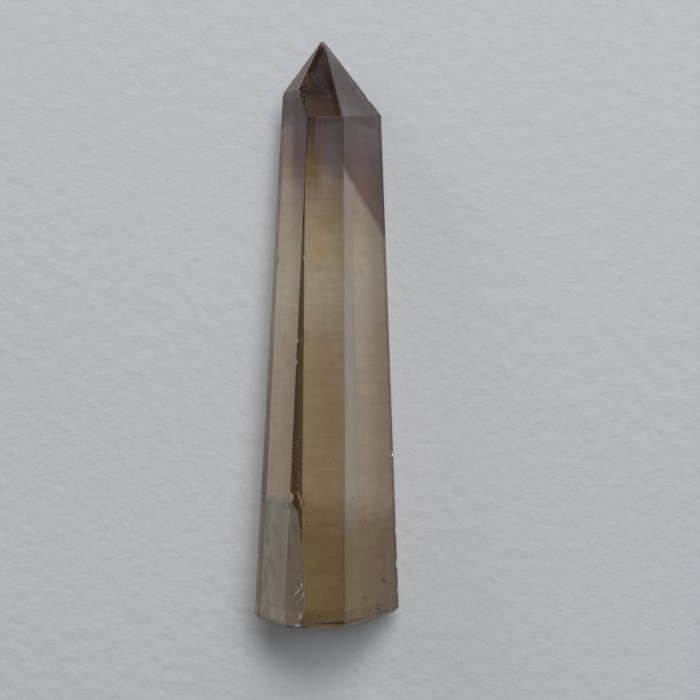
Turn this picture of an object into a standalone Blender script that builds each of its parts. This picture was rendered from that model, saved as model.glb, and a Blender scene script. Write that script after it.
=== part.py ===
"""A polished citrine point, lying on one of its six long faces.

Units are metres and +Z is up. The crystal's length runs along Y with the tip towards +Y. It rests on
its underside, which is the plane Z = 0, and the origin is on that plane under the middle of its box.

The crystal is ground as a lapidary grinds it: a rough block is cut by one plane for each flat face.
Six prism faces draw in towards the tip, six shorter faces close it in a point, and one saw cut ends it
at the base. Then the edges are broken, the foot gets a wider bevel, and small flakes and pits are
chipped out of the edges and faces.
"""

import math

import bmesh
import bpy
from mathutils import Matrix, Vector

MM = 0.001

# The crystal
LENGTH = 82.25 * MM  # from the saw cut to where the faces of the point would meet
AXIS_HEIGHT = 8.0 * MM  # of the crystal's own axis above the surface, halfway along it
TIP = Vector((-0.87, 41.28, 4.5)) * MM
TIP_WORN = 0.35 * MM  # how much of the tip is worn away
ROUGH_BLOCK = 120.0 * MM

# The six prism faces: the way each looks, in degrees from +X up towards +Z, its distance from the
# axis halfway along, and how much nearer it comes for each unit of length towards the tip.
PRISM_FACES = {
    "top": (94.6, 7.93 * MM, 0.0853),
    "upper_left": (151.1, 7.10 * MM, 0.0763),
    "lower_left": (212.4, 6.87 * MM, 0.0046),
    "underside": (270.0, AXIS_HEIGHT, 0.0),
    "lower_right": (330.0, 9.65 * MM, 0.0174),
    "upper_right": (27.1, 5.68 * MM, 0.0428),
}

# The six faces of the point, which all pass through the tip: the way each looks, in the same degrees,
# and how far it leans towards the tip, in degrees.
POINT_FACES = {
    "point_top": (93.6, 34.4),
    "point_upper_left": (147.0, 33.9),
    "point_lower_left": (218.5, 23.0),
    "point_underside": (270.0, 23.5),
    "point_lower_right": (334.0, 38.2),
    "point_upper_right": (33.4, 30.0),
}

BASE_LEAN = 4.6  # degrees that the saw cut looks up, which keeps it square to the axis

# Edges: how wide each kind is broken
FOOT_BEVEL = 0.6 * MM
LENGTHWISE_BREAK = 0.20 * MM
POINT_BREAK = 0.16 * MM
SHOULDER_BREAK = 0.22 * MM
RIGHT_SHOULDER_BREAK = 1.05 * MM
LEFT_SHOULDER_BREAK = 0.45 * MM
FOOT_BREAK = 0.10 * MM
WIDEST_BREAK = RIGHT_SHOULDER_BREAK
BREAK_STEPS = 3
WORN_SHOULDERS = {
    ("upper_right", "point_upper_right"): RIGHT_SHOULDER_BREAK,
    ("lower_right", "point_lower_right"): RIGHT_SHOULDER_BREAK,
    ("lower_left", "point_lower_left"): LEFT_SHOULDER_BREAK,
    ("upper_left", "point_upper_left"): LEFT_SHOULDER_BREAK,
}
CRISP_TURN = math.radians(24)  # a wider turn than this between two facets stays a crisp edge

# Flakes chipped out of the edges: the two faces that meet there, the place along Y, the radius of the
# scar and its depth at the edge.
EDGE_FLAKES = (
    ("point_top", "upper_left", 32.4 * MM, 0.75 * MM, 0.17 * MM),
    ("point_top", "upper_left", 31.2 * MM, 0.60 * MM, 0.15 * MM),
    ("point_top", "upper_left", 30.0 * MM, 0.85 * MM, 0.19 * MM),
    ("point_upper_right", "point_lower_right", 33.0 * MM, 1.00 * MM, 0.17 * MM),
    ("top", "upper_right", 27.2 * MM, 0.55 * MM, 0.13 * MM),
    ("top", "upper_right", -26.4 * MM, 0.50 * MM, 0.12 * MM),
    ("top", "upper_right", -34.0 * MM, 0.65 * MM, 0.14 * MM),
    ("top", "upper_left", -1.9 * MM, 0.60 * MM, 0.14 * MM),
    ("top", "upper_left", -4.8 * MM, 0.50 * MM, 0.12 * MM),
    ("top", "upper_left", -22.6 * MM, 1.20 * MM, 0.30 * MM),
    ("top", "upper_left", -23.9 * MM, 1.60 * MM, 0.34 * MM),
    ("top", "upper_left", -25.3 * MM, 0.80 * MM, 0.20 * MM),
    ("top", "upper_left", -28.3 * MM, 0.60 * MM, 0.15 * MM),
    ("upper_right", "lower_right", -29.0 * MM, 1.10 * MM, 0.18 * MM),
    ("upper_right", "lower_right", -33.7 * MM, 1.30 * MM, 0.22 * MM),
    ("upper_right", "lower_right", -37.6 * MM, 0.90 * MM, 0.16 * MM),
    ("upper_left", "lower_left", -12.2 * MM, 0.90 * MM, 0.15 * MM),
    ("upper_left", "lower_left", -31.5 * MM, 0.80 * MM, 0.15 * MM),
    ("lower_left", "underside", 9.5 * MM, 1.10 * MM, 0.16 * MM),
    ("lower_right", "underside", -19.0 * MM, 1.20 * MM, 0.17 * MM),
    ("top", "base", -3.2 * MM, 1.00 * MM, 0.62 * MM),
    ("upper_right", "base", 6.9 * MM, 0.80 * MM, 0.58 * MM),
)

# Pits in the faces near the base: the face, the place along X and Y, the radius and the depth.
PITS = (
    ("top", -0.9 * MM, -35.4 * MM, 0.34 * MM, 0.10 * MM),
    ("top", -2.9 * MM, -26.6 * MM, 0.30 * MM, 0.09 * MM),
    ("upper_right", 3.0 * MM, -33.9 * MM, 0.32 * MM, 0.09 * MM),
    ("upper_right", 3.9 * MM, -30.7 * MM, 0.38 * MM, 0.11 * MM),
    ("upper_right", 6.6 * MM, -33.3 * MM, 0.40 * MM, 0.12 * MM),
    ("upper_left", -5.4 * MM, 30.0 * MM, 0.30 * MM, 0.09 * MM),
    ("upper_left", -7.6 * MM, -31.0 * MM, 0.34 * MM, 0.10 * MM),
)


def direction(degrees, lean_degrees=0.0):
    """The outward normal of a face that looks that way round the length and leans towards the tip."""
    round_length, lean = math.radians(degrees), math.radians(lean_degrees)
    across = math.cos(lean)
    return Vector((across * math.cos(round_length), math.sin(lean), across * math.sin(round_length)))


def prism_plane(degrees, distance, draw_in):
    """A point on a prism face and its outward normal."""
    middle = Vector((0, 0, AXIS_HEIGHT)) + direction(degrees) * distance
    return middle, direction(degrees, math.degrees(math.atan(draw_in)))


def base_plane():
    """A point on the saw cut, level with the surface below, and its outward normal."""
    return Vector((0, TIP.y - LENGTH, 0)), direction(90, BASE_LEAN - 90)


def all_planes():
    """Every flat face by name, in the order of grinding: a point on it and its outward normal."""
    planes = {name: prism_plane(*sizes) for name, sizes in PRISM_FACES.items()}
    planes |= {name: (TIP, direction(*turns)) for name, turns in POINT_FACES.items()}
    planes["base"] = base_plane()
    planes["worn_tip"] = (TIP - Vector((0, TIP_WORN, 0)), Vector((0, 1, 0)))
    return planes


def grind(bm, plane):
    """Takes off all that lies outside a plane, and closes the cut with one flat face."""
    point, normal = plane
    everything = bm.verts[:] + bm.edges[:] + bm.faces[:]
    cut = bmesh.ops.bisect_plane(bm, geom=everything, plane_co=point, plane_no=normal, clear_outer=True)
    rim = [item for item in cut["geom_cut"] if isinstance(item, bmesh.types.BMEdge)]
    if rim:
        bmesh.ops.edgeloop_fill(bm, edges=rim)


def name_of(face, planes):
    """The name of the flat face that a mesh face belongs to, or "foot" for the bevel at the base."""
    best = max(planes, key=lambda name: planes[name][1].dot(face.normal))
    return best if planes[best][1].dot(face.normal) > 0.9999 else "foot"


def break_width(names):
    """How wide the edge between two named faces is broken."""
    for pair, width in WORN_SHOULDERS.items():
        if set(pair) == names:
            return width
    if names & {"foot", "base"}:
        return FOOT_BREAK
    on_point = sum(name in POINT_FACES or name == "worn_tip" for name in names)
    return (LENGTHWISE_BREAK, SHOULDER_BREAK, POINT_BREAK)[on_point]


def weigh_edges(bm, planes):
    """Marks each edge with its share of the widest break, for the Bevel modifier."""
    share = bm.edges.layers.float.new("bevel_weight_edge")
    for edge in bm.edges:
        names = {name_of(face, planes) for face in edge.link_faces}
        edge[share] = break_width(names) / WIDEST_BREAK


def bevel_foot(bm, planes):
    """Bevels the edges round the saw cut."""
    cut = max(bm.faces, key=lambda face: face.normal.dot(planes["base"][1]))
    bmesh.ops.bevel(bm, geom=cut.edges[:], offset=FOOT_BEVEL, segments=1, profile=0.5, affect="EDGES")


def where_planes_meet(first, second, third):
    """The one point that lies on three planes."""
    rows = Matrix((first[1], second[1], third[1]))
    reach = Vector([normal.dot(point) for point, normal in (first, second, third)])
    return rows.inverted() @ reach


def edge_place(planes, first, second, along):
    """A point on the edge between two faces, and the way out there.

    An edge of the base is found by its place along X, and any other by its place along Y.
    """
    axis = Vector((1, 0, 0)) if second == "base" else Vector((0, 1, 0))
    place = where_planes_meet(planes[first], planes[second], (axis * along, axis))
    return place, (planes[first][1] + planes[second][1]).normalized()


def face_place(planes, name, x, y):
    """A point on a face, and the way out there."""
    point, normal = planes[name]
    z = point.z + (normal.x * (point.x - x) + normal.y * (point.y - y)) / normal.z
    return Vector((x, y, z)), normal


def chip_cutter(planes):
    """One mesh of balls. Each dips under the surface and leaves a shell-shaped scar."""
    bm = bmesh.new()
    chips = [(*edge_place(planes, *flake[:3]), *flake[3:]) for flake in EDGE_FLAKES]
    chips += [(*face_place(planes, *pit[:3]), *pit[3:]) for pit in PITS]
    for place, outward, radius, depth in chips:
        centre = Matrix.Translation(place + outward * (radius - depth))
        bmesh.ops.create_icosphere(bm, subdivisions=3, radius=radius, matrix=centre)
    return finished_object("chip_cutter", bm)


def citrine_material():
    """Clear honey-brown quartz. The colour darkens with the depth that light crosses."""
    material = bpy.data.materials.new("citrine")
    material.use_nodes = True
    nodes, links = material.node_tree.nodes, material.node_tree.links
    quartz = nodes["Principled BSDF"]
    quartz.inputs["Base Color"].default_value = (0.80, 0.66, 0.48, 1.0)
    quartz.inputs["Roughness"].default_value = 0.03
    quartz.inputs["Metallic"].default_value = 0.0
    quartz.inputs["IOR"].default_value = 1.547
    quartz.inputs["Transmission Weight"].default_value = 1.0
    depth = nodes.new("ShaderNodeVolumeAbsorption")
    depth.inputs["Color"].default_value = (0.86, 0.72, 0.50, 1.0)
    depth.inputs["Density"].default_value = 120.0
    links.new(depth.outputs["Volume"], nodes["Material Output"].inputs["Volume"])
    return material


def finished_object(name, bm):
    """Puts a mesh into the scene as an object of that name."""
    mesh = bpy.data.meshes.new(name)
    bm.to_mesh(mesh)
    bm.free()
    made = bpy.data.objects.new(name, mesh)
    bpy.context.scene.collection.objects.link(made)
    return made


def ground_crystal(planes):
    """The block with every flat face ground on it and the foot bevelled."""
    bm = bmesh.new()
    bmesh.ops.create_cube(bm, size=ROUGH_BLOCK)
    for plane in planes.values():
        grind(bm, plane)
    bm.normal_update()
    bevel_foot(bm, planes)
    bm.normal_update()
    weigh_edges(bm, planes)
    return finished_object("crystal_point", bm)


def break_edges(crystal):
    """Rounds the edges, each to its own width."""
    broken = crystal.modifiers.new("broken_edges", "BEVEL")
    broken.width = WIDEST_BREAK
    broken.segments = BREAK_STEPS
    broken.limit_method = "WEIGHT"


def chip(crystal, cutter):
    """Takes the flakes and pits out of the crystal."""
    cutter.hide_render = True
    cutter.display_type = "WIRE"
    chips = crystal.modifiers.new("chips", "BOOLEAN")
    chips.operation = "DIFFERENCE"
    chips.solver = "EXACT"
    chips.use_self = True  # neighbouring scars overlap
    chips.object = cutter


def clear_scene():
    for old in list(bpy.data.objects):
        bpy.data.objects.remove(old, do_unlink=True)


def build():
    clear_scene()
    planes = all_planes()
    crystal = ground_crystal(planes)
    crystal.data.materials.append(citrine_material())
    break_edges(crystal)
    chip(crystal, chip_cutter(planes))
    crystal.data.shade_smooth()
    crystal.data.set_sharp_from_angle(angle=CRISP_TURN)


build()
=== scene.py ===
"""The looks of a polished smoky citrine point, lying on one long face on pale watercolour paper.

Units are metres, +Z is up, and the tip points towards +Y. The crystal is one clear body. Its colour lies in
growth zones: smoky brown in the tip with a lavender sector in it, pale honey in the middle, amber at the
foot, and some tints on its faces are painted light and shade. Inside it are a milky crack, healed veils,
sparkling flakes and a few dark grains.
"""

import math
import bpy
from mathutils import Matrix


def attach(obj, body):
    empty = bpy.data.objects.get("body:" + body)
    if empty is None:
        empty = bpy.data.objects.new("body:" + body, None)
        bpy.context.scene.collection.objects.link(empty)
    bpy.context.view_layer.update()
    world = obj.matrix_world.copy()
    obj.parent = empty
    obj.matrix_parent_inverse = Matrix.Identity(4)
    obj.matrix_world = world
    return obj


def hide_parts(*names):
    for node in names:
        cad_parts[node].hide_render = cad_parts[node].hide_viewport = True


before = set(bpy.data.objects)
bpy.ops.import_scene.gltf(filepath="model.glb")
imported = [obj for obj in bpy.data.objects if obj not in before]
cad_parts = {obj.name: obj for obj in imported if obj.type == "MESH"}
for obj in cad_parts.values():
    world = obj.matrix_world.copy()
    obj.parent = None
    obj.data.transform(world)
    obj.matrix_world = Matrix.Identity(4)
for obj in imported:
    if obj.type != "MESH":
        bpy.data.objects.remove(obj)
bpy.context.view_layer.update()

from types import SimpleNamespace

import bmesh
import bpy
from mathutils import Vector
from mathutils.bvhtree import BVHTree

MM = 0.001


# ---------------------------------------------------------------- meshes and node trees


def finished_object(name, bm, material=None):
    """Puts a mesh into the scene as an object of that name, at the origin."""
    mesh = bpy.data.meshes.new(name)
    bm.to_mesh(mesh)
    bm.free()
    if material:
        mesh.materials.append(material)
    made = bpy.data.objects.new(name, mesh)
    bpy.context.scene.collection.objects.link(made)
    return made


def new_material(name):
    material = bpy.data.materials.new(name)
    material.use_nodes = True
    return material, material.node_tree, material.node_tree.nodes["Principled BSDF"]


def add(tree, kind, **settings):
    """A node of that kind with its plain settings."""
    made = tree.nodes.new(kind)
    for key, value in settings.items():
        setattr(made, key, value)
    return made


def feed(tree, socket, value):
    """Sets an input to a number or a colour, or links it to another node's output."""
    if isinstance(value, bpy.types.NodeSocket):
        tree.links.new(value, socket)
    else:
        socket.default_value = value


def calc(tree, operation, first, second=0.0, third=0.0):
    made = add(tree, "ShaderNodeMath", operation=operation)
    for socket, value in zip(made.inputs, (first, second, third)):
        feed(tree, socket, value)
    return made.outputs[0]


def product(tree, first, *others):
    for other in others:
        first = calc(tree, "MULTIPLY", first, other)
    return first


def ramp(tree, value, low, high, start=0.0, end=1.0):
    """A soft step from start to end, while the value goes from low to high."""
    made = add(tree, "ShaderNodeMapRange", interpolation_type="SMOOTHSTEP")
    feed(tree, made.inputs["Value"], value)
    for name, number in (("From Min", low), ("From Max", high), ("To Min", start), ("To Max", end)):
        made.inputs[name].default_value = number
    return made.outputs["Result"]


def band(tree, value, low, high, soft):
    """One between two values and nought outside them, with soft borders."""
    above_low = ramp(tree, value, low - soft, low + soft)
    return product(tree, above_low, ramp(tree, value, high + soft, high - soft))


def blend(tree, share, below, above, how="MIX"):
    """One colour over another."""
    made = add(tree, "ShaderNodeMix", data_type="RGBA", blend_type=how)
    feed(tree, made.inputs["Factor"], share)
    feed(tree, made.inputs["A"], below)
    feed(tree, made.inputs["B"], above)
    return made.outputs["Result"]


def weighted(tree, place, weights):
    """The sum of X, Y and Z, each times its weight, in millimetres."""
    made = add(tree, "ShaderNodeVectorMath", operation="DOT_PRODUCT")
    feed(tree, made.inputs[0], place)
    made.inputs[1].default_value = Vector(weights) / MM
    return made.outputs["Value"]


def noise(tree, place, scale, detail=2.0, roughness=0.5):
    """Noise around zero. The scale is in patches for each millimetre along X, Y and Z."""
    stretch = add(tree, "ShaderNodeVectorMath", operation="MULTIPLY")
    feed(tree, stretch.inputs[0], place)
    stretch.inputs[1].default_value = Vector(scale) / MM
    made = add(tree, "ShaderNodeTexNoise")
    feed(tree, made.inputs["Vector"], stretch.outputs[0])
    for name, number in (("Scale", 1.0), ("Detail", detail), ("Roughness", roughness)):
        feed(tree, made.inputs[name], number)
    return calc(tree, "SUBTRACT", made.outputs["Fac"], 0.5)


# ---------------------------------------------------------------- geometry node groups

FLAKE_SIDES = 5
FLAKE_THICKNESS = 0.18
GRAIN_SUBDIVISIONS = 2
GRAIN_DENT = 0.09
VEIN_SIDES = 5


def new_group(name, **numbers):
    """A geometry node tree with a mesh input, named number inputs and a mesh output."""
    tree = bpy.data.node_groups.new(name, "GeometryNodeTree")
    tree.interface.new_socket("Geometry", in_out="INPUT", socket_type="NodeSocketGeometry")
    for label, value in numbers.items():
        kind = "NodeSocketInt" if isinstance(value, int) else "NodeSocketFloat"
        tree.interface.new_socket(label, in_out="INPUT", socket_type=kind).default_value = value
    tree.interface.new_socket("Geometry", in_out="OUTPUT", socket_type="NodeSocketGeometry")
    return tree, add(tree, "NodeGroupInput"), add(tree, "NodeGroupOutput")


def finish_group(tree, shape, end, material):
    """Ends a tree with real geometry in its material."""
    real = add(tree, "GeometryNodeRealizeInstances")
    feed(tree, real.inputs["Geometry"], shape)
    painted = add(tree, "GeometryNodeSetMaterial")
    painted.inputs["Material"].default_value = material
    feed(tree, painted.inputs["Geometry"], real.outputs["Geometry"])
    feed(tree, end.inputs["Geometry"], painted.outputs["Geometry"])


def random_number(tree, low, high, seed, kind="FLOAT"):
    made = add(tree, "FunctionNodeRandomValue", data_type=kind)
    shown = [socket for socket in made.inputs if socket.enabled]
    for name, value in (("Min", low), ("Max", high), ("Seed", seed)):
        feed(tree, next(socket for socket in shown if socket.name == name), value)
    return next(socket for socket in made.outputs if socket.enabled)


def scatter_tree(material):
    """Small flakes strewn over a sheet and a little way to both sides of it."""
    tree, start, end = new_group("flake_scatter", Per_square_mm=10.0, Flake_size=0.1, Depth=0.3, Seed=1)
    area = calc(tree, "MULTIPLY", start.outputs["Per_square_mm"], 1.0 / MM**2)
    size = calc(tree, "MULTIPLY", start.outputs["Flake_size"], MM)
    depth = calc(tree, "MULTIPLY", start.outputs["Depth"], MM)
    seed = start.outputs["Seed"]
    points = add(tree, "GeometryNodeDistributePointsOnFaces")
    feed(tree, points.inputs["Mesh"], start.outputs["Geometry"])
    feed(tree, points.inputs["Density"], area)
    feed(tree, points.inputs["Seed"], seed)
    off_sheet = add(tree, "ShaderNodeVectorMath", operation="SCALE")
    feed(tree, off_sheet.inputs[0], points.outputs["Normal"])
    feed(tree, off_sheet.inputs["Scale"], product(tree, depth, random_number(tree, -1.0, 1.0, seed)))
    moved = add(tree, "GeometryNodeSetPosition")
    feed(tree, moved.inputs["Geometry"], points.outputs["Points"])
    feed(tree, moved.inputs["Offset"], off_sheet.outputs[0])
    flake = add(tree, "GeometryNodeMeshCylinder")
    flake.inputs["Vertices"].default_value = FLAKE_SIDES
    flake.inputs["Radius"].default_value = 0.5
    flake.inputs["Depth"].default_value = FLAKE_THICKNESS
    strewn = add(tree, "GeometryNodeInstanceOnPoints")
    feed(tree, strewn.inputs["Points"], moved.outputs["Geometry"])
    feed(tree, strewn.inputs["Instance"], flake.outputs["Mesh"])
    turn = random_number(tree, (0, 0, 0), (math.tau,) * 3, seed, "FLOAT_VECTOR")
    feed(tree, strewn.inputs["Rotation"], turn)
    spread = product(tree, size, random_number(tree, 0.4, 1.6, seed))
    feed(tree, strewn.inputs["Scale"], spread)
    finish_group(tree, strewn.outputs["Instances"], end, material)
    return tree


def grain_tree(material):
    """One rough grain on each point, of the size that the point carries."""
    tree, start, end = new_group("grains", Longest=1.5, Thinnest=0.6, Seed=1)
    size = add(tree, "GeometryNodeInputNamedAttribute", data_type="FLOAT")
    size.inputs["Name"].default_value = "size"
    grain = add(tree, "GeometryNodeMeshIcoSphere")
    grain.inputs["Radius"].default_value = 0.5
    grain.inputs["Subdivisions"].default_value = GRAIN_SUBDIVISIONS
    dented = add(tree, "GeometryNodeSetPosition")
    feed(tree, dented.inputs["Geometry"], grain.outputs["Mesh"])
    seed = start.outputs["Seed"]
    dent = random_number(tree, (-GRAIN_DENT,) * 3, (GRAIN_DENT,) * 3, seed, "FLOAT_VECTOR")
    feed(tree, dented.inputs["Offset"], dent)
    set_down = add(tree, "GeometryNodeInstanceOnPoints")
    feed(tree, set_down.inputs["Points"], start.outputs["Geometry"])
    feed(tree, set_down.inputs["Instance"], dented.outputs["Geometry"])
    turn = random_number(tree, (0, 0, 0), (math.tau,) * 3, seed, "FLOAT_VECTOR")
    feed(tree, set_down.inputs["Rotation"], turn)
    shape = add(tree, "ShaderNodeCombineXYZ")
    feed(tree, shape.inputs["X"], start.outputs["Longest"])
    feed(tree, shape.inputs["Y"], random_number(tree, 0.7, 1.1, seed))
    feed(tree, shape.inputs["Z"], start.outputs["Thinnest"])
    sized = add(tree, "ShaderNodeVectorMath", operation="SCALE")
    feed(tree, sized.inputs[0], shape.outputs[0])
    feed(tree, sized.inputs["Scale"], size.outputs["Attribute"])
    feed(tree, set_down.inputs["Scale"], sized.outputs[0])
    finish_group(tree, set_down.outputs["Instances"], end, material)
    return tree


def vein_tree(material):
    """A thin wandering thread along each line."""
    tree, start, end = new_group("veins", Thickness=0.1, Step=0.15, Wander=0.08, Seed=1)
    line = add(tree, "GeometryNodeMeshToCurve")
    feed(tree, line.inputs["Mesh"], start.outputs["Geometry"])
    even = add(tree, "GeometryNodeResampleCurve", mode="LENGTH")
    feed(tree, even.inputs["Curve"], line.outputs["Curve"])
    feed(tree, even.inputs["Length"], calc(tree, "MULTIPLY", start.outputs["Step"], MM))
    seed = start.outputs["Seed"]
    shift = add(tree, "ShaderNodeVectorMath", operation="SCALE")
    feed(tree, shift.inputs[0], random_number(tree, (-1, -1, -0.3), (1, 1, 0.3), seed, "FLOAT_VECTOR"))
    feed(tree, shift.inputs["Scale"], calc(tree, "MULTIPLY", start.outputs["Wander"], MM))
    wandering = add(tree, "GeometryNodeSetPosition")
    feed(tree, wandering.inputs["Geometry"], even.outputs["Curve"])
    feed(tree, wandering.inputs["Offset"], shift.outputs[0])
    uneven = add(tree, "GeometryNodeSetCurveRadius")
    feed(tree, uneven.inputs["Curve"], wandering.outputs["Geometry"])
    feed(tree, uneven.inputs["Radius"], random_number(tree, 0.35, 1.0, seed))
    section = add(tree, "GeometryNodeCurvePrimitiveCircle", mode="RADIUS")
    section.inputs["Resolution"].default_value = VEIN_SIDES
    feed(tree, section.inputs["Radius"], calc(tree, "MULTIPLY", start.outputs["Thickness"], 0.5 * MM))
    thread = add(tree, "GeometryNodeCurveToMesh")
    feed(tree, thread.inputs["Curve"], uneven.outputs["Curve"])
    feed(tree, thread.inputs["Profile Curve"], section.outputs["Curve"])
    thread.inputs["Fill Caps"].default_value = True
    radius = add(tree, "GeometryNodeInputRadius")
    feed(tree, thread.inputs["Scale"], radius.outputs["Radius"])
    finish_group(tree, thread.outputs["Mesh"], end, material)
    return tree


def grown(name, bm, tree, **numbers):
    """Runs a geometry node tree on a mesh and keeps the result as a plain mesh."""
    piece = finished_object(name, bm)
    modifier = piece.modifiers.new(tree.name, "NODES")
    modifier.node_group = tree
    for item in tree.interface.items_tree:
        if item.in_out == "INPUT" and item.name in numbers:
            modifier[item.identifier] = numbers[item.name]
    graph = bpy.context.evaluated_depsgraph_get()
    mesh = bpy.data.meshes.new_from_object(piece.evaluated_get(graph), depsgraph=graph)
    old = piece.data
    piece.modifiers.clear()
    piece.data = mesh
    bpy.data.meshes.remove(old)
    mesh.name = name
    return piece


def sheet(*corners):
    """A flat polygon, with its corners in millimetres."""
    bm = bmesh.new()
    bm.faces.new([bm.verts.new(Vector(corner) * MM) for corner in corners])
    bm.normal_update()
    return bm


def marked_points(places):
    """Loose points in millimetres, each with its size as the fourth number."""
    bm = bmesh.new()
    size = bm.verts.layers.float.new("size")
    for x, y, z, width in places:
        bm.verts.new(Vector((x, y, z)) * MM)[size] = width * MM
    return bm


def lines(*paths):
    """Open lines through points in millimetres."""
    bm = bmesh.new()
    for path in paths:
        points = [bm.verts.new(Vector(place) * MM) for place in path]
        for first, second in zip(points, points[1:]):
            bm.edges.new((first, second))
    return bm


# ---------------------------------------------------------------- the quartz and its colour zones

SMALLEST_FLAT_FACE = 15.0 * MM**2
FACET_MATCH = math.cos(math.radians(1.5))
CREASE = math.radians(24)
POLISH = 0.02
SAWN = 0.45
QUARTZ_INDEX = 1.547
DEPTH_COLOUR = (0.99, 0.77, 0.32, 1.0)
DEPTH_DENSITY = 25.0
# painted light and shade of faint ripples across the shaft
RIPPLE_STRENGTH, RIPPLE_LEVEL = 0.45, 0.98

# The tint of each zone, which is multiplied with the tints of the zones that it lies over.
CLEAR = (1.00, 1.00, 1.00, 1.0)
# the smoky end of the shaft
SMOKY = (0.74, 0.69, 0.80, 1.0)
SMOKY_SIDE = (0.33, 0.13, 0.07, 1.0)
SMOKY_RIDGE = (0.45, 0.50, 0.50, 1.0)
LEFT_BROWN = (0.72, 0.42, 0.20, 1.0)
LAVENDER = (0.62, 0.68, 1.00, 1.0)
UMBER = (0.34, 0.28, 0.18, 1.0)
GOLD = (0.44, 0.29, 0.12, 1.0)
STREAK = (0.66, 0.50, 0.44, 1.0)
DUSK = (0.22, 0.06, 0.02, 1.0)
# the tip: its smoky and front colours, a brown shoulder, and painted shade on the side facets, point, right
# rim and veil
TIP = (0.68, 0.60, 0.56, 1.0)
TIP_RIGHT = (0.70, 0.67, 0.66, 1.0)
TIP_FRONT = (1.00, 0.98, 0.80, 1.0)
TIP_LEFT = (0.62, 0.62, 0.63, 1.0)
TIP_SHADE = (0.30, 0.26, 0.26, 1.0)
VEIL_SHADE = (0.60, 0.56, 0.54, 1.0)
SHOULDER = (0.50, 0.34, 0.22, 1.0)
APEX_SHADE = (0.13, 0.10, 0.08, 1.0)
TIP_RIM_SHADE = (0.45, 0.38, 0.34, 1.0)
# the middle of the shaft
PALE_HONEY = (1.00, 0.97, 0.89, 1.0)
AMBER_FRONT = (0.90, 0.76, 0.66, 1.0)
AMBER_CLOUD = (0.97, 0.86, 0.68, 1.0)
ROSE_CLOUD = (1.00, 0.93, 0.90, 1.0)
WARM_EDGE = (0.98, 0.84, 0.68, 1.0)
LOWER_FRONT = (0.78, 0.74, 0.70, 1.0)
# painted shade on the lower right face, beside the pale strip
LOWER_RIGHT_SHADE = (0.86, 0.80, 0.74, 1.0)
# painted shade: the dark brown wedge that light makes beside the left ridge, after a long way through the
# quartz
WEDGE_SHADE = (1.00, 0.74, 0.48, 1.0)
# the foot
FOOT = (0.78, 0.76, 0.68, 1.0)
FOOT_FRONT = (0.88, 0.83, 0.72, 1.0)
FOOT_RIGHT = (0.80, 0.62, 0.34, 1.0)
# painted shade that dims the light the sawn end catches
SAWN_END_SHADE = (0.75, 0.72, 0.68, 1.0)
# painted shade along the outer edges, and greyer strips of the left face
EDGE_SHADE = (0.62, 0.46, 0.34, 1.0)
LEFT_EDGE_SHADE = (0.62, 0.55, 0.48, 1.0)
LEFT_LINE_SHADE = (0.55, 0.45, 0.42, 1.0)
LEFT_LOWER = (0.78, 0.71, 0.67, 1.0)
LEFT_OUTER = (0.82, 0.80, 0.82, 1.0)

# Each flat face by its outward normal and its distance from the origin in millimetres.
TOP_FACE = ((-0.0800, 0.0850, 0.9932), 15.847)
RIGHT_FACE = ((0.8894, 0.0428, 0.4551), 9.316)
LEFT_FACE = ((-0.8729, 0.0761, 0.4819), 10.934)
FACE_SKIN = (0.14, 0.06)

# Slanting lines, each as the weights of X, Y and Z that add up to the distance across it in millimetres.
SMOKY_SLANT = (0.834, 1, -0.326)
TIP_RIGHT_RIDGE, TIP_RIGHT_RIDGE_PLACE = (-1, -0.2375, 0), 8.62
TIP_LEFT_RIDGE, TIP_LEFT_RIDGE_PLACE = (1, -0.358, 0), 16.0
PALE_STRIP_SLANT = (1, 0.033, 0)
FOOT_SLANT = (0.12, 1, 0)
SAWN_SLANT = (0, 0.9968, -0.0802)
RIGHT_OUTLINE_SLANT = (1, 0.0353, 0)
LEFT_OUTLINE_SLANT = (1, -0.045, 0)
SHOULDER_BEND, SHOULDER_BEND_SLOPE = 20.0, 0.03


def on_face(tree, place, face):
    """One on that flat face and nought elsewhere."""
    normal, distance = face
    deep, shallow = FACE_SKIN
    return ramp(tree, weighted(tree, place, normal), distance - deep, distance - shallow)


def wavering(tree, value, patches, width):
    """A value moved to and fro by a noise, so that a border drawn with it isn't straight."""
    return calc(tree, "ADD", value, product(tree, patches, width))


def read_place(tree):
    """What the zones are drawn with: the place in millimetres, some noises and the main faces."""
    at = SimpleNamespace()
    at.place = add(tree, "ShaderNodeTexCoord").outputs["Object"]
    at.x = weighted(tree, at.place, (1, 0, 0))
    at.y = weighted(tree, at.place, (0, 1, 0))
    at.z = weighted(tree, at.place, (0, 0, 1))
    at.cloud = noise(tree, at.place, (0.30, 0.12, 0.30), detail=3.0)
    at.blotch = noise(tree, at.place, (0.22, 0.16, 0.1), detail=2.0)
    at.streak = noise(tree, at.place, (4.5, 0.05, 0.3), detail=2.0)
    at.ripple = noise(tree, at.place, (0.15, 1.1, 0.15), detail=4.0)
    at.top = on_face(tree, at.place, TOP_FACE)
    at.right = on_face(tree, at.place, RIGHT_FACE)
    at.left = on_face(tree, at.place, LEFT_FACE)
    at.front = product(tree, at.top, ramp(tree, at.x, -3.33, -3.17))
    at.sawn = ramp(tree, weighted(tree, at.place, SAWN_SLANT), -40.1, -40.2)
    return at


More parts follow.
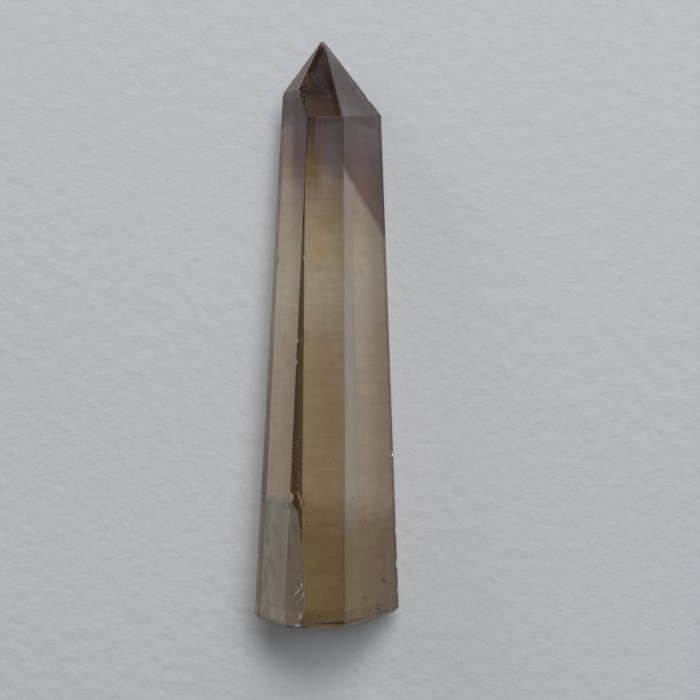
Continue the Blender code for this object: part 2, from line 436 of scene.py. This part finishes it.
def smoky_zones(tree, at):
    """The smoky end of the shaft. Its border slants, and the top face has columns of other colours."""
    shaft = ramp(tree, at.y, 28.6, 28.2)
    reach = wavering(tree, weighted(tree, at.place, SMOKY_SLANT), at.cloud, 1.2)
    reach = calc(tree, "ADD", reach, ramp(tree, at.z, 1.0, 4.0, -3.5, 0.0))
    all_smoky = ramp(tree, reach, 17.2, 19.6)
    side = product(tree, ramp(tree, reach, 17.8, 19.3), at.right, ramp(tree, at.y, 30.0, 22.0, 0.4, 1.0))
    ridge = product(tree, all_smoky, at.right, ramp(tree, at.x, 5.2, 3.2))
    left_brown = product(tree, at.left, band(tree, at.y, 20.5, 26.0, 2.0))
    dusk = product(tree, at.left, ramp(tree, at.y, 15.5, 24.0), ramp(tree, at.x, -5.4, -4.4),
                   ramp(tree, at.y, 33.0, 31.0))
    streaked = wavering(tree, at.y, at.streak, 6.0)
    lavender = product(tree, at.front, shaft, ramp(tree, streaked, 18.0, 22.5), ramp(tree, at.x, -1.5, 0.3))
    umber = product(tree, at.front, shaft, ramp(tree, streaked, 20.5, 26.0), ramp(tree, at.x, -1.2, -1.8))
    gold = product(tree, at.front, band(tree, streaked, 18.0, 24.5, 2.5), ramp(tree, at.x, 0.2, -1.6))
    dark_streaks = product(tree, at.front, shaft, ramp(tree, at.streak, -0.02, 0.10),
                           ramp(tree, at.y, 18.5, 23.5), band(tree, at.x, -1.3, 0.0, 0.2))
    pale_left = product(tree, at.left, ramp(tree, at.x, -5.4, -6.4), ramp(tree, at.y, 24.0, 27.0))
    smoky = product(tree, all_smoky, ramp(tree, lavender, 0.0, 1.0, 1.0, 0.0),
                    ramp(tree, pale_left, 0.0, 1.0, 1.0, 0.3))
    return ((smoky, SMOKY), (side, SMOKY_SIDE), (ridge, SMOKY_RIDGE), (left_brown, LEFT_BROWN),
            (lavender, LAVENDER), (umber, UMBER), (gold, GOLD), (dark_streaks, STREAK), (dusk, DUSK))


def tip_zones(tree, at):
    """The three upper facets of the tip, with a brown shoulder and painted shade on the sides, point, rim
    and veil.
    """
    from_right = calc(tree, "ADD", weighted(tree, at.place, TIP_RIGHT_RIDGE), TIP_RIGHT_RIDGE_PLACE)
    from_left = calc(tree, "ADD", weighted(tree, at.place, TIP_LEFT_RIDGE), TIP_LEFT_RIDGE_PLACE)
    tip = ramp(tree, at.y, 28.0, 30.0)
    above_shoulder = product(tree, ramp(tree, at.y, 28.25, 28.45), ramp(tree, at.z, 4.9, 5.3))
    # Painted shade: the side facets are greyed, the right one darker towards the point, and the point, the
    # right rim and the part behind the veil are darkened.
    right = product(tree, above_shoulder, ramp(tree, from_right, 0.05, -0.1))
    left = product(tree, above_shoulder, ramp(tree, from_left, 0.1, -0.1))
    front = product(tree, above_shoulder, ramp(tree, from_right, -0.05, 0.1),
                    ramp(tree, from_left, -0.1, 0.1), ramp(tree, at.x, -3.45, -3.3))
    shade = product(tree, right, ramp(tree, at.y, 31.5, 36.0))
    veil_shade = product(tree, front, ramp(tree, at.y, 31.6, 32.0))
    shoulder = product(tree, front, ramp(tree, at.y, 31.0, 29.2))
    apex = product(tree, front, ramp(tree, at.y, 34.3, 36.3), ramp(tree, from_left, 1.5, 1.0),
                   ramp(tree, at.y, 40.2, 39.2))
    rim = product(tree, front, ramp(tree, from_right, 0.9, 0.5), ramp(tree, at.y, 37.0, 35.5))
    return ((tip, TIP), (right, TIP_RIGHT), (front, TIP_FRONT), (left, TIP_LEFT), (shade, TIP_SHADE),
            (veil_shade, VEIL_SHADE), (shoulder, SHOULDER), (apex, APEX_SHADE), (rim, TIP_RIM_SHADE))


def middle_zones(tree, at):
    """The honey and amber middle of the shaft, and painted shade in the dark wedge beside the left ridge."""
    # The amber weakens to the right: painted light that evens out the shade the lamps leave under the right
    # of the shaft.
    less_to_the_right = ramp(tree, at.x, 1.8, -0.8, 0.4, 1.0)
    clouded = wavering(tree, at.y, at.cloud, 10.0)
    honey = band(tree, wavering(tree, at.y, at.cloud, 8.0), 8.0, 17.0, 2.0)
    amber_front = product(tree, at.front, less_to_the_right, ramp(tree, clouded, 4.0, -5.0),
                          ramp(tree, at.y, -32.0, -26.0))
    lower_front = product(tree, at.front, less_to_the_right, ramp(tree, clouded, 6.0, -2.0),
                          ramp(tree, at.y, -27.0, -24.0))
    amber_cloud = product(tree, at.front, ramp(tree, at.blotch, 0.02, 0.14),
                          band(tree, at.y, -20.0, 15.5, 2.5))
    rose = product(tree, ramp(tree, at.cloud, -0.02, 0.16), ramp(tree, at.y, 6.0, 2.0))
    warm_edge = product(tree, at.right, ramp(tree, at.x, 5.2, 7.4), band(tree, at.y, -24.0, 9.0, 4.0))
    # Painted shade on the lower part of the right face, to the right of the pale strip.
    beside_strip = ramp(tree, weighted(tree, at.place, PALE_STRIP_SLANT), 3.2, 3.5)
    lower_right = product(tree, at.right, beside_strip, ramp(tree, at.y, 9.0, 0.0))
    # Painted shade in the dark brown wedge beside the left ridge.
    wedge = product(tree, at.top, ramp(tree, at.x, -3.25, -3.41), ramp(tree, at.y, 19.0, 14.0),
                    ramp(tree, at.y, -25.5, -22.5))
    return ((honey, PALE_HONEY), (amber_front, AMBER_FRONT), (lower_front, LOWER_FRONT),
            (amber_cloud, AMBER_CLOUD), (rose, ROSE_CLOUD), (warm_edge, WARM_EDGE),
            (lower_right, LOWER_RIGHT_SHADE), (wedge, WEDGE_SHADE))


def foot_zones(tree, at):
    """The darker foot under a wavering border, with painted light on the right of its front, where its extra
    tint stops, and painted shade on the sawn end.
    """
    arch = wavering(tree, weighted(tree, at.place, FOOT_SLANT), at.cloud, 5.0)
    foot = ramp(tree, arch, -23.6, -27.6)
    # The extra tint of the front stops on the right: painted light that evens out the shade under the right
    # of the foot.
    foot_front = product(tree, at.front, ramp(tree, arch, -23.8, -25.4), ramp(tree, at.x, 1.2, -0.8))
    return ((foot, FOOT), (foot_front, FOOT_FRONT), (product(tree, at.right, foot), FOOT_RIGHT),
            (at.sawn, SAWN_END_SHADE))


def edge_zones(tree, at):
    """Painted shade along the outer edges of the shaft, and the greyer strips of the left face beside them.
    """
    past_bend = product(tree, calc(tree, "SUBTRACT", at.y, SHOULDER_BEND), SHOULDER_BEND_SLOPE)
    across_right = calc(tree, "ADD", weighted(tree, at.place, RIGHT_OUTLINE_SLANT),
                        calc(tree, "MAXIMUM", past_bend, 0.0))
    right_edge = product(tree, ramp(tree, across_right, 8.14, 8.24), ramp(tree, at.y, 29.4, 28.6))
    across_left = weighted(tree, at.place, LEFT_OUTLINE_SLANT)
    left_edge = ramp(tree, across_left, -7.40, -7.52)
    left_line = product(tree, band(tree, across_left, -7.80, -7.46, 0.06), ramp(tree, at.y, 2.0, -8.0))
    above_crack = ramp(tree, at.y, -23.5, -22.0)
    left_lower = product(tree, at.left, ramp(tree, at.y, 5.0, -10.0), above_crack)
    left_outer = product(tree, at.left, ramp(tree, across_left, -5.8, -6.8), ramp(tree, at.y, 16.0, 10.0),
                         above_crack)
    return ((right_edge, EDGE_SHADE), (left_edge, LEFT_EDGE_SHADE), (left_line, LEFT_LINE_SHADE),
            (left_lower, LEFT_LOWER), (left_outer, LEFT_OUTER))


def quartz_material():
    """Clear quartz. The zones tint its surface, some of them with painted light and shade, and its depth
    adds a little amber.
    """
    material, tree, quartz = new_material("smoky_citrine")
    at = read_place(tree)
    tint = CLEAR
    for zones in (smoky_zones, tip_zones, middle_zones, foot_zones, edge_zones):
        for share, colour in zones(tree, at):
            tint = blend(tree, share, tint, colour, "MULTIPLY")
    # Painted light and shade of faint ripples across the shaft, which aren't raised.
    ripple_light_and_shade = calc(tree, "MULTIPLY_ADD", at.ripple, RIPPLE_STRENGTH, RIPPLE_LEVEL)
    tint = blend(tree, 1.0, tint, ripple_light_and_shade, "MULTIPLY")
    feed(tree, quartz.inputs["Base Color"], tint)
    feed(tree, quartz.inputs["Roughness"], calc(tree, "MULTIPLY_ADD", at.sawn, SAWN - POLISH, POLISH))
    quartz.inputs["IOR"].default_value = QUARTZ_INDEX
    quartz.inputs["Transmission Weight"].default_value = 1.0
    depth = add(tree, "ShaderNodeVolumeAbsorption")
    depth.inputs["Color"].default_value = DEPTH_COLOUR
    depth.inputs["Density"].default_value = DEPTH_DENSITY
    tree.links.new(depth.outputs["Volume"], tree.nodes["Material Output"].inputs["Volume"])
    return material


# ---------------------------------------------------------------- the crystal


def merged_crystal():
    """The bare crystal as one closed mesh, with each flat face whole."""
    bm = bmesh.new()
    bm.from_mesh(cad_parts["crystal_point"].data)
    bmesh.ops.remove_doubles(bm, verts=bm.verts[:], dist=0.001 * MM)
    bmesh.ops.dissolve_limit(bm, angle_limit=math.radians(0.05), verts=bm.verts[:], edges=bm.edges[:])
    bm.normal_update()
    return bm


def make_crystal():
    """The crystal with its large faces dead flat, and its broken edges and chips shaded smooth."""
    bm = merged_crystal()
    facets = [face.normal.copy() for face in bm.faces if face.calc_area() > SMALLEST_FLAT_FACE]
    rounded = [max(face.normal.dot(facet) for facet in facets) < FACET_MATCH for face in bm.faces]
    crystal = finished_object("crystal", bm, quartz_material())
    crystal.data.attributes.remove(crystal.data.attributes["custom_normal"])
    crystal.data.set_sharp_from_angle(angle=CREASE)
    crystal.data.polygons.foreach_set("use_smooth", rounded)
    return crystal


# ---------------------------------------------------------------- the crack and the films inside it

CRACK_LINE = ((-5.25, -22.6), (-4.57, -23.3), (-3.90, -24.2), (-3.63, -25.5), (-3.36, -28.1), (-3.09, -30.6),
              (-2.95, -33.2), (-2.94, -35.7), (-2.93, -37.3), (-3.84, -39.2), (-4.00, -40.2))
CRACK_SLOPE = Vector((-0.482, -0.075, -0.873))
CRACK_FACING = Vector((0.875, 0, -0.483))
CRACK_THICKNESS = 0.03 * MM
CRACK_START_DEPTH = 0.06 * MM
CRACK_WALL_GAP = 0.06 * MM
CRACK_BULGE = 0.10 * MM
CRACK_ROWS, CRACK_STEPS = 60, 28
ABOVE_CRYSTAL = 50.0 * MM

BASE_FILM_DEPTHS = (0.50, 0.54)
BASE_FILM_SPREAD = 1.02

# A pale film under the right face that paints the strip of light along its ridge with the top face.
LIGHT_STRIP_FILM = ((2.06, 24.0), (2.28, -27.0), (4.27, -27.0), (3.78, 0.0), (3.36, 24.0))
LIGHT_STRIP_FILM_LAYERS = ((0.12, 0.15), (0.19, 0.22))
LIGHT_STRIP_FILM_INNER, LIGHT_STRIP_FILM_OUTER = (1, 0.0045, 0), (1, 0.018, 0)
LIGHT_STRIP_FILM_COVER, LIGHT_STRIP_FILM_STREAKS = 0.18, 0.06

CHIP_OUTLINE = ((-3.95, -21.7), (-3.66, -21.9), (-3.35, -22.6), (-3.0, -23.0), (-2.55, -23.2),
                (-2.75, -23.6), (-3.1, -24.1), (-3.4, -23.9), (-3.55, -23.1), (-3.8, -22.4))
CHIP_DEPTHS = (0.095, 0.315)


def plain_material(name, colour, roughness):
    """A solid colour with a darker mottle in it."""
    material, tree, body = new_material(name)
    body.inputs["Roughness"].default_value = roughness
    place = add(tree, "ShaderNodeTexCoord").outputs["Object"]
    mottle = noise(tree, place, (3.0, 3.0, 3.0), detail=3.0)
    dark = tuple(channel * 0.6 for channel in colour) + (1.0,)
    mottled = blend(tree, ramp(tree, mottle, -0.15, 0.15), dark, colour + (1.0,))
    feed(tree, body.inputs["Base Color"], mottled)
    return material


def milky_material():
    """Cloudy, browner to the right and thin in places, so that the crystal behind it shows through."""
    material, tree, body = new_material("milky_crack")
    place = add(tree, "ShaderNodeTexCoord").outputs["Object"]
    mottle = noise(tree, place, (0.8, 0.35, 0.5), detail=5.0, roughness=0.6)
    brown = ramp(tree, weighted(tree, place, (1, 0, 0)), -7.0, -5.2)
    pale = blend(tree, ramp(tree, mottle, -0.12, 0.12), (0.76, 0.70, 0.63, 1.0), (0.90, 0.86, 0.80, 1.0))
    feed(tree, body.inputs["Base Color"], blend(tree, brown, pale, (0.72, 0.63, 0.53, 1.0)))
    body.inputs["Roughness"].default_value = 0.6
    feed(tree, body.inputs["Alpha"], ramp(tree, mottle, -0.3, 0.25, 0.72, 0.95))
    return material


def light_strip_material():
    """A very faint pale film with soft borders that paints a strip of light, for layers that lie over one
    another.
    """
    material, tree, body = new_material("painted_light_strip")
    place = add(tree, "ShaderNodeTexCoord").outputs["Object"]
    y = weighted(tree, place, (0, 1, 0))
    streak = noise(tree, place, (1.6, 0.05, 1.6), detail=2.0)
    share = product(tree, ramp(tree, weighted(tree, place, LIGHT_STRIP_FILM_INNER), 2.15, 2.45),
                    ramp(tree, weighted(tree, place, LIGHT_STRIP_FILM_OUTER), 3.75, 3.25),
                    ramp(tree, y, 24.0, 17.0), ramp(tree, y, -27.0, -18.0),
                    calc(tree, "MULTIPLY_ADD", streak, LIGHT_STRIP_FILM_STREAKS, LIGHT_STRIP_FILM_COVER))
    body.inputs["Base Color"].default_value = (0.97, 0.94, 0.86, 1.0)
    body.inputs["Roughness"].default_value = 0.7
    feed(tree, body.inputs["Alpha"], share)
    return material


def on_plane(face, x, y):
    """The point of a flat face over that X and Y in millimetres."""
    normal, distance = face
    return Vector((x, y, (distance - normal[0] * x - normal[1] * y) / normal[2])) * MM


def add_slab(bm, *rings):
    """Closes two rings of points into one thin slab."""
    near, far = [[bm.verts.new(point) for point in ring] for ring in rings]
    bm.faces.new(near)
    bm.faces.new(far[::-1])
    for i in range(len(near)):
        k = (i + 1) % len(near)
        bm.faces.new((near[i], near[k], far[k], far[i]))
    bmesh.ops.recalc_face_normals(bm, faces=bm.faces[:])


def along_line(line, share):
    """The point at that share of a line's Y range."""
    y = line[0][1] + (line[-1][1] - line[0][1]) * share
    for (x0, y0), (x1, y1) in zip(line, line[1:]):
        if y >= y1:
            return x0 + (x1 - x0) * (y0 - y) / (y0 - y1), y
    return line[-1]


def crack_rows():
    """Rows of points down the crack, from just under the top face to just short of the wall below."""
    wall_mesh = merged_crystal()
    wall = BVHTree.FromBMesh(wall_mesh)
    wall_mesh.free()
    top_down = Vector((0, 0, -1))
    rows = []
    for row in range(CRACK_ROWS + 1):
        x, y = along_line(CRACK_LINE, row / CRACK_ROWS)
        surface = wall.ray_cast(Vector((x * MM, y * MM, ABOVE_CRYSTAL)), top_down)[0]
        first = surface + top_down * CRACK_START_DEPTH
        length = wall.ray_cast(first, CRACK_SLOPE)[3] - CRACK_WALL_GAP
        points = []
        for step in range(CRACK_STEPS + 1):
            share = step / CRACK_STEPS
            bulge = CRACK_BULGE * math.sin(math.pi * share) * math.sin(0.9 * y + 4.0 * share)
            points.append(first + CRACK_SLOPE * length * share + CRACK_FACING * bulge)
        rows.append(points)
    return rows


def make_milky_crack():
    """A thin cloudy crack. It leaves the top face along a curved line and runs down behind the left face."""
    rows = crack_rows()
    bm = bmesh.new()
    skins = []
    for side in (-0.5, 0.5):
        shift = CRACK_FACING * CRACK_THICKNESS * side
        skins.append([[bm.verts.new(point + shift) for point in points] for points in rows])
    for skin in skins:
        for i in range(CRACK_ROWS):
            for j in range(CRACK_STEPS):
                bm.faces.new((skin[i][j], skin[i + 1][j], skin[i + 1][j + 1], skin[i][j + 1]))
    near, far = skins
    rim = [(0, j) for j in range(CRACK_STEPS)] + [(i, CRACK_STEPS) for i in range(CRACK_ROWS)]
    rim += [(CRACK_ROWS, j) for j in range(CRACK_STEPS, 0, -1)] + [(i, 0) for i in range(CRACK_ROWS, 0, -1)]
    for (i, j), (k, l) in zip(rim, rim[1:] + rim[:1]):
        bm.faces.new((near[i][j], near[k][l], far[k][l], far[i][j]))
    bmesh.ops.recalc_face_normals(bm, faces=bm.faces[:])
    return finished_object("milky_crack", bm, milky_material())


def make_frosted_and_shaded_base():
    """A dull film just inside the sawn end: its frosted cut, and painted shade that dims the glints of the
    end.
    """
    bm = merged_crystal()
    end = max((face for face in bm.faces if face.normal.y < -0.99), key=lambda face: face.calc_area())
    middle, outward = end.calc_center_median(), end.normal.copy()
    corners = [middle + (vert.co - middle) * BASE_FILM_SPREAD for vert in end.verts]
    bm.free()
    film = bmesh.new()
    add_slab(film, *([corner - outward * depth * MM for corner in corners] for depth in BASE_FILM_DEPTHS))
    return finished_object("frosted_and_shaded_base", film, plain_material("saw_frost_and_shade", (0.70, 0.62, 0.50), 0.7))


def make_painted_light_strip():
    """Faint pale layers under the right face: painted light along the ridge it shares with the top face."""
    inward = -Vector(RIGHT_FACE[0]) * MM
    outline = [on_plane(RIGHT_FACE, x, y) for x, y in LIGHT_STRIP_FILM]
    bm = bmesh.new()
    for layer in LIGHT_STRIP_FILM_LAYERS:
        add_slab(bm, *([point + inward * depth for point in outline] for depth in layer))
    return finished_object("painted_light_strip", bm, light_strip_material())


def make_loose_chip():
    """A thin pale splinter just under the top face, at the head of the crack."""
    down = Vector((0, 0, -MM))
    outline = [on_plane(TOP_FACE, x, y) for x, y in CHIP_OUTLINE]
    bm = bmesh.new()
    add_slab(bm, *([point + down * depth for point in outline] for depth in CHIP_DEPTHS))
    return finished_object("loose_chip", bm, plain_material("pale_splinter", (0.62, 0.50, 0.34), 0.4))


# ---------------------------------------------------------------- veins, flakes and grains inside it

# Lines and the corners of flat sheets, as X, Y and Z in millimetres.
CRACK_RIM = (
    ((-3.47, -32.7, 18.35), (-3.21, -33.7, 18.46), (-3.07, -34.7, 18.56), (-2.94, -35.8, 18.66),
     (-2.93, -37.3, 18.79), (-3.32, -38.2, 18.84), (-3.71, -39.1, 18.88)),
    ((-3.08, -34.0, 18.49), (-3.47, -34.5, 18.51), (-3.99, -35.0, 18.50), (-4.51, -35.5, 18.50)),
    ((-3.07, -35.2, 18.60), (-3.59, -35.9, 18.61), (-4.11, -36.5, 18.61)),
    ((-2.93, -37.3, 18.79), (-3.45, -37.7, 18.77), (-3.84, -38.2, 18.78), (-3.97, -39.1, 18.85)),
)
# Scratches on the right edge, and a white line that paints a glint near the tip.
SCRATCHES_AND_GLINT = (
    ((8.38, -31.4, 6.94), (8.37, -33.6, 7.16), (8.36, -35.2, 7.33)),
    ((8.81, -36.5, 6.57), (8.81, -38.5, 6.77), (8.80, -39.9, 6.93)),
    # A short white line that paints a glint of light on the right facet of the tip.
    ((3.99, 34.2, 4.33), (4.42, 33.4, 4.46), (4.99, 32.7, 4.30)),
)
DARK_LINES = (
    ((-1.08, 40.1, 5.0), (-0.78, 39.4, 5.5), (-0.49, 38.7, 6.0)),
    ((6.69, -39.3, 10.8), (8.0, -39.6, 8.3), (9.3, -39.8, 5.6)),
)
# A dark thread that paints the shade along the right edge of the tip.
TIP_EDGE_SHADE_LINE = (((-0.55, 40.3, 4.35), (2.59, 36.38, 3.72), (5.95, 32.15, 3.05)),)
VEIL_SHEET = ((-2.93, 35.34, 5.89), (-2.27, 35.86, 6.43), (-0.84, 34.82, 7.24), (0.73, 32.13, 9.18),
              (0.47, 31.15, 9.83), (-1.35, 32.49, 8.79), (-3.67, 32.87, 8.38))
LEFT_VEIL = ((-3.69, 32.93, 8.38), (-3.03, 32.89, 8.84), (-2.92, 28.99, 11.52), (-2.83, 29.11, 10.96),
             (-3.43, 30.78, 9.60))
WEDGE_SHEET = ((-4.26, -13.79, 16.30), (-3.28, -13.77, 16.37), (-3.38, -22.92, 17.14),
               (-4.83, -22.94, 17.03))

# Single marks, as X, Y, Z and width in millimetres.
DARK_GRAINS = (
    (-7.51, -23.71, 11.49, 0.35), (7.28, -35.33, 8.14, 0.40), (7.58, -35.72, 7.6, 0.35),
    (4.7, -36.68, 13.3, 0.35), (4.84, -37.0, 13.06, 0.25), (6.54, -38.42, 9.87, 0.35),
    (6.68, -39.02, 9.65, 0.30), (3.08, -22.8, 15.16, 0.28), (3.21, -23.09, 14.93, 0.25),
    (3.35, -23.66, 14.72, 0.35), (4.02, -26.23, 13.64, 0.22), (0.44, -18.1, 16.74, 0.15),
    (1.36, -20.18, 16.99, 0.18), (4.85, -28.36, 12.22, 0.18), (-2.58, -25.81, 17.15, 0.16),
    (-4.03, -26.86, 17.13, 0.14), (-3.75, -27.2, 17.2, 0.12), (-0.84, -37.88, 18.33, 0.15),
    (0.86, -37.46, 18.43, 0.18), (5.39, -38.58, 12.12, 0.25),
)
# Pale specks: some are white grains in the quartz, and some are painted glints of light on chips, such as
# the three on the right facet of the tip.
BRIGHT_SPECKS_AND_GLINTS = (
    (-0.97, -35.45, 18.11, 0.30), (-2.97, -26.59, 17.19, 0.26), (-3.23, -26.85, 17.19, 0.16),
    (-1.65, -26.32, 17.27, 0.18), (0.71, -27.45, 17.56, 0.14), (0.71, -28.22, 17.63, 0.18),
    (3.75, -30.9, 14.62, 0.18), (2.68, -31.55, 16.76, 0.18), (2.03, -33.23, 18.0, 0.16),
    (2.16, -33.66, 17.9, 0.14), (6.4, -34.17, 9.74, 0.32), (-3.46, -2.0, 15.05, 0.14),
    (-3.18, -4.8, 15.31, 0.14), (-5.74, -30.17, 15.7, 0.20), (-3.75, -30.74, 17.48, 0.16),
    (-3.49, -28.28, 17.29, 0.18), (-4.52, 29.82, 8.46, 0.20), (-4.36, 29.04, 8.87, 0.22),
    (1.73, 27.36, 13.09, 0.22), (4.3, 33.22, 4.58, 0.32), (4.02, 33.72, 4.48, 0.26),
    (4.57, 32.77, 4.65, 0.20), (-4.83, 29.95, 7.88, 0.14),
)


def make_inclusions():
    """Every piece inside the crystal."""
    flakes = scatter_tree(plain_material("glinting_flake", (0.74, 0.86, 1.00), 0.25))
    dark = grain_tree(plain_material("dark_grain", (0.02, 0.014, 0.01), 0.6))
    bright = grain_tree(plain_material("pale_speck_and_glint", (0.85, 0.82, 0.76), 0.3))
    white_veins_and_glint = vein_tree(plain_material("white_crack_rim_and_glint", (0.78, 0.75, 0.70), 0.5))
    # The dark threads draw dark lines in the quartz, and one paints shade along the right edge of the tip.
    dark_veins_and_shade_lines = vein_tree(plain_material("dark_crack_and_shade_line", (0.09, 0.06, 0.045), 0.5))
    return [
        make_milky_crack(),
        make_loose_chip(),
        make_frosted_and_shaded_base(),
        make_painted_light_strip(),
        grown("crack_rim", lines(*CRACK_RIM), white_veins_and_glint, Thickness=0.34, Step=0.30, Wander=0.13, Seed=4),
        # Scratches on the right edge, and a painted glint near the tip.
        grown("scratches_and_painted_glint", lines(*SCRATCHES_AND_GLINT), white_veins_and_glint,
              Thickness=0.16, Step=0.3, Wander=0.03, Seed=7),
        grown("dark_lines", lines(*DARK_LINES), dark_veins_and_shade_lines, Thickness=0.26, Step=0.3, Wander=0.10, Seed=9),
        # Painted shade: a dark thread along the right edge of the tip.
        grown("tip_edge_shade_line", lines(*TIP_EDGE_SHADE_LINE), dark_veins_and_shade_lines,
              Thickness=0.30, Step=0.4, Wander=0.02, Seed=6),
        grown("tip_veil", sheet(*VEIL_SHEET), flakes,
              Per_square_mm=40.0, Flake_size=0.15, Depth=0.35, Seed=3),
        grown("left_veil", sheet(*LEFT_VEIL), flakes,
              Per_square_mm=24.0, Flake_size=0.13, Depth=0.2, Seed=5),
        grown("wedge_sparkles", sheet(*WEDGE_SHEET), flakes,
              Per_square_mm=14.0, Flake_size=0.08, Depth=0.25, Seed=8),
        grown("dark_grains", marked_points(DARK_GRAINS), dark, Longest=1.9, Thinnest=1.0, Seed=11),
        # Pale specks, partly white grains and partly painted glints on chips.
        grown("pale_specks_and_glints", marked_points(BRIGHT_SPECKS_AND_GLINTS), bright, Longest=1.7, Thinnest=0.9, Seed=13),
    ]


# ---------------------------------------------------------------- the paper, the light and the camera

PAPER_HALF_WIDTH = 2.0
PAPER_GAP = 0.02 * MM
PAPER_COLOUR = (0.72, 0.73, 0.75, 1.0)
PAPER_GRAIN = (0.42, 0.42, 0.42)
PAPER_GRAIN_HEIGHT = 0.8 * MM

WINDOW_COLOUR = (0.985, 0.99, 1.0)
LAMPS = (
    # name, place, width and height in metres, power in watts
    ("skylight", (0.26, 0.27, 0.79), 0.3, 0.25, 1.63),
    ("high_window", (0.06, 0.47, 0.72), 0.3, 0.25, 2.84),
    ("window", (0.30, 0.66, 0.50), 0.6, 0.4, 0.6),
    ("side_window", (-0.624, 0.437, 0.44), 0.3, 0.3, 0.75),
)
ROOM_COLOUR = (0.96, 0.98, 1.0, 1.0)
ROOM_LIGHT = 0.075

CAMERA_PLACE = Vector((3.05, -3.18, 162.0)) * MM
SENSOR_WIDTH = 36.0
FOCAL_LENGTH = SENSOR_WIDTH * 1100 / 700
CLOSEST_SEEN = 0.005


def paper_floor():
    """Pale watercolour paper with a soft grain."""
    bm = bmesh.new()
    bmesh.ops.create_grid(bm, x_segments=1, y_segments=1, size=PAPER_HALF_WIDTH)
    bmesh.ops.translate(bm, verts=bm.verts[:], vec=(0, 0, -PAPER_GAP))
    material, tree, paper = new_material("pale_paper")
    paper.inputs["Base Color"].default_value = PAPER_COLOUR
    paper.inputs["Roughness"].default_value = 0.95
    paper.inputs["Specular IOR Level"].default_value = 0.1
    place = add(tree, "ShaderNodeTexCoord").outputs["Object"]
    bump = add(tree, "ShaderNodeBump")
    bump.inputs["Strength"].default_value = 0.35
    bump.inputs["Distance"].default_value = PAPER_GRAIN_HEIGHT
    feed(tree, bump.inputs["Height"], noise(tree, place, PAPER_GRAIN, detail=3.5, roughness=0.55))
    feed(tree, paper.inputs["Normal"], bump.outputs["Normal"])
    return finished_object("paper", bm, material)


def hang_lamp(name, place, width, height, power):
    """A soft rectangular light that looks at the crystal, and isn't seen itself."""
    light = bpy.data.lights.new(name, "AREA")
    light.shape = "RECTANGLE"
    light.size, light.size_y = width, height
    light.energy = power
    light.color = WINDOW_COLOUR
    lamp = bpy.data.objects.new(name, light)
    lamp.location = place
    lamp.rotation_euler = (-Vector(place)).to_track_quat("-Z", "Y").to_euler()
    lamp.visible_camera = False
    bpy.context.scene.collection.objects.link(lamp)


def light_room():
    for lamp in LAMPS:
        hang_lamp(*lamp)
    world = bpy.data.worlds.new("dim_room")
    world.use_nodes = True
    sky = world.node_tree.nodes["Background"]
    sky.inputs["Color"].default_value = ROOM_COLOUR
    sky.inputs["Strength"].default_value = ROOM_LIGHT
    bpy.context.scene.world = world


def place_camera():
    """A camera that looks straight down, and enough light bounces for a clear faceted body."""
    scene = bpy.context.scene
    lens = bpy.data.cameras.new("camera")
    lens.sensor_width = SENSOR_WIDTH
    lens.lens = FOCAL_LENGTH
    lens.clip_start = CLOSEST_SEEN
    camera = bpy.data.objects.new("camera", lens)
    camera.location = CAMERA_PLACE
    scene.collection.objects.link(camera)
    scene.camera = camera
    scene.view_settings.view_transform = "Standard"
    scene.cycles.max_bounces = 24
    scene.cycles.transmission_bounces = 24
    scene.cycles.glossy_bounces = 12
    scene.cycles.transparent_max_bounces = 16
    scene.cycles.caustics_reflective = True
    scene.cycles.caustics_refractive = True
    scene.cycles.use_denoising = True


crystal = make_crystal()
for piece in [crystal] + make_inclusions():
    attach(piece, "root")
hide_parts("crystal_point")
paper_floor()
light_room()
place_camera()
